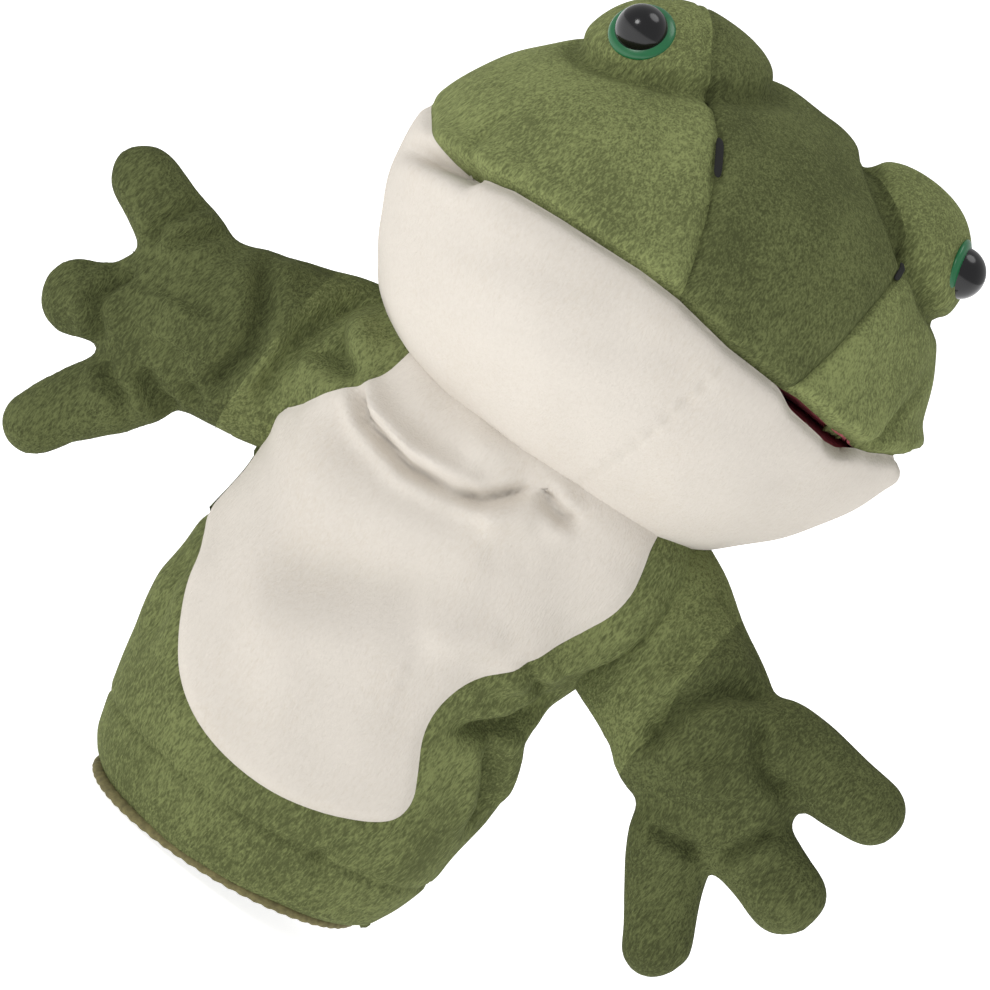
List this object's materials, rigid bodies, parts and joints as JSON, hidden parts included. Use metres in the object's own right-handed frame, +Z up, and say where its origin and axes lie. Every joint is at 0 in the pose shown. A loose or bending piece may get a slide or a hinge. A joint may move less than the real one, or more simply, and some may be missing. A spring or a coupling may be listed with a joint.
{
  "type": "hand puppet",
  "caption": "Plush frog hand puppet: open sleeve body with a pale belly patch, stuffed arms with fingered hands, wide head with bump eyes and a mouth that the hand inside opens.",
  "frame": {"origin": "centre of the hem's opening, where the hand goes in, in the plane of the hem", "axes": "+Z up through the body from the hem to the head; -Y is the front of the body, where the belly patch is; +X is to the right for somebody facing the puppet. The head is turned 28 degrees towards +X at rest."},
  "size_m": [0.2996, 0.1512, 0.2866],
  "materials": {
    "green_plush": "matte",
    "cream_plush": "matte",
    "hem_edge": "matte",
    "mouth_pink": "matte",
    "mouth_board": "matte",
    "pocket_cloth": "matte",
    "filling": "matte",
    "black_thread": "satin",
    "eye_green": "gloss",
    "eye_black": "gloss",
    "washer_plastic": "matte"
  },
  "bodies": {
    "body": {"body_front_panel": "green_plush", "body_back_panel": "green_plush", "belly_panel": "cream_plush", "hem_binding": "hem_edge"},
    "neck_turning": {"neck_ring_lower": "green_plush"},
    "neck_tilting": {"neck_ring_upper": "green_plush"},
    "jaw": {"jaw_cover_left": "cream_plush", "jaw_cover_right": "cream_plush", "jaw_back_panel": "green_plush", "jaw_stuffing": "filling", "thumb_pocket_lining": "pocket_cloth", "mouth_lining_lower": "mouth_pink", "mouth_plate_lower": "mouth_board"},
    "head": {"head_center_panel": "green_plush", "head_back_panel": "green_plush", "head_side_left": "green_plush", "head_side_right": "green_plush", "head_stuffing": "filling", "finger_pocket_lining": "pocket_cloth", "mouth_lining_upper": "mouth_pink", "mouth_plate_upper": "mouth_board", "nostril_left": "black_thread", "eye_bump_outer_left": "green_plush", "eye_bump_inner_left": "green_plush", "eye_bump_stuffing_left": "filling", "eye_ring_left": "eye_green", "eye_pupil_left": "eye_black", "eye_shaft_left": "washer_plastic", "eye_washer_left": "washer_plastic", "nostril_right": "black_thread", "eye_bump_outer_right": "green_plush", "eye_bump_inner_right": "green_plush", "eye_bump_stuffing_right": "filling", "eye_ring_right": "eye_green", "eye_pupil_right": "eye_black", "eye_shaft_right": "washer_plastic", "eye_washer_right": "washer_plastic"},
    "arm_left": {"arm_cover_left": "green_plush", "arm_stuffing_left": "filling"},
    "hand_left": {"palm_cover_left": "green_plush", "palm_stuffing_left": "filling"},
    "finger_left_1": {"finger_cover_left_1": "green_plush", "finger_stuffing_left_1": "filling"},
    "finger_left_2": {"finger_cover_left_2": "green_plush", "finger_stuffing_left_2": "filling"},
    "finger_left_3": {"finger_cover_left_3": "green_plush", "finger_stuffing_left_3": "filling"},
    "arm_right": {"arm_cover_right": "green_plush", "arm_stuffing_right": "filling"},
    "hand_right": {"palm_cover_right": "green_plush", "palm_stuffing_right": "filling"},
    "finger_right_1": {"finger_cover_right_1": "green_plush", "finger_stuffing_right_1": "filling"},
    "finger_right_2": {"finger_cover_right_2": "green_plush", "finger_stuffing_right_2": "filling"},
    "finger_right_3": {"finger_cover_right_3": "green_plush", "finger_stuffing_right_3": "filling"}
  },
  "joints": [
    {"name": "neck_turn", "type": "hinge", "parent": "body", "child": "neck_turning", "pos_m": [0, 0, 0.13], "axis": [0, 0, 1], "range_deg": [-50, 20], "stiffness_Nm_per_rad": 0.9},
    {"name": "head_tilt", "type": "hinge", "parent": "neck_turning", "child": "neck_tilting", "pos_m": [0, 0, 0.13], "axis": [0.4695, -0.8829, 0], "range_deg": [-6, 6], "stiffness_Nm_per_rad": 1.6},
    {"name": "head_nod", "type": "hinge", "parent": "neck_tilting", "child": "jaw", "pos_m": [0, 0, 0.13], "axis": [0.8829, 0.4695, 0], "range_deg": [-8, 10], "stiffness_Nm_per_rad": 1.6},
    {"name": "mouth_open", "type": "hinge", "parent": "jaw", "child": "head", "pos_m": [0.00556, -0.0029, 0.20243], "axis": [-0.8817, -0.4688, -0.0523], "range_deg": [0, 35], "stiffness_Nm_per_rad": 0.6},
    {"name": "arm_raise_left", "type": "hinge", "parent": "body", "child": "arm_left", "pos_m": [-0.062, 0, 0.121], "axis": [0, 1, 0], "range_deg": [-17, 8], "stiffness_Nm_per_rad": 0.5},
    {"name": "wrist_bend_left", "type": "hinge", "parent": "arm_left", "child": "hand_left", "pos_m": [-0.083, -0.002, 0.116], "axis": [-0.2316, 0, 0.9728], "range_deg": [-25, 30], "stiffness_Nm_per_rad": 0.25},
    {"name": "finger_curl_left_1", "type": "hinge", "parent": "hand_left", "child": "finger_left_1", "pos_m": [-0.11972, -0.003, 0.12845], "axis": [0.515, 0, 0.8572], "range_deg": [-15, 42], "stiffness_Nm_per_rad": 0.05},
    {"name": "finger_curl_left_2", "type": "hinge", "parent": "hand_left", "child": "finger_left_2", "pos_m": [-0.12141, -0.003, 0.1008], "axis": [-0.4067, 0, 0.9135], "range_deg": [-15, 36], "stiffness_Nm_per_rad": 0.05},
    {"name": "finger_curl_left_3", "type": "hinge", "parent": "hand_left", "child": "finger_left_3", "pos_m": [-0.10762, -0.003, 0.08627], "axis": [-0.891, 0, 0.454], "range_deg": [-15, 42], "stiffness_Nm_per_rad": 0.05},
    {"name": "arm_raise_right", "type": "hinge", "parent": "body", "child": "arm_right", "pos_m": [0.062, 0, 0.121], "axis": [0, -1, 0], "range_deg": [-17, 8], "stiffness_Nm_per_rad": 0.5},
    {"name": "wrist_bend_right", "type": "hinge", "parent": "arm_right", "child": "hand_right", "pos_m": [0.088, -0.002, 0.113], "axis": [-0.2941, 0, -0.9558], "range_deg": [-25, 30], "stiffness_Nm_per_rad": 0.25},
    {"name": "finger_curl_right_1", "type": "hinge", "parent": "hand_right", "child": "finger_right_1", "pos_m": [0.12901, -0.003, 0.11975], "axis": [0.3584, 0, -0.9336], "range_deg": [-15, 42], "stiffness_Nm_per_rad": 0.05},
    {"name": "finger_curl_right_2", "type": "hinge", "parent": "hand_right", "child": "finger_right_2", "pos_m": [0.12671, -0.003, 0.09355], "axis": [-0.515, 0, -0.8572], "range_deg": [-15, 36], "stiffness_Nm_per_rad": 0.05},
    {"name": "finger_curl_right_3", "type": "hinge", "parent": "hand_right", "child": "finger_right_3", "pos_m": [0.11175, -0.003, 0.08099], "axis": [-0.9336, 0, -0.3584], "range_deg": [-15, 42], "stiffness_Nm_per_rad": 0.05}
  ]
}
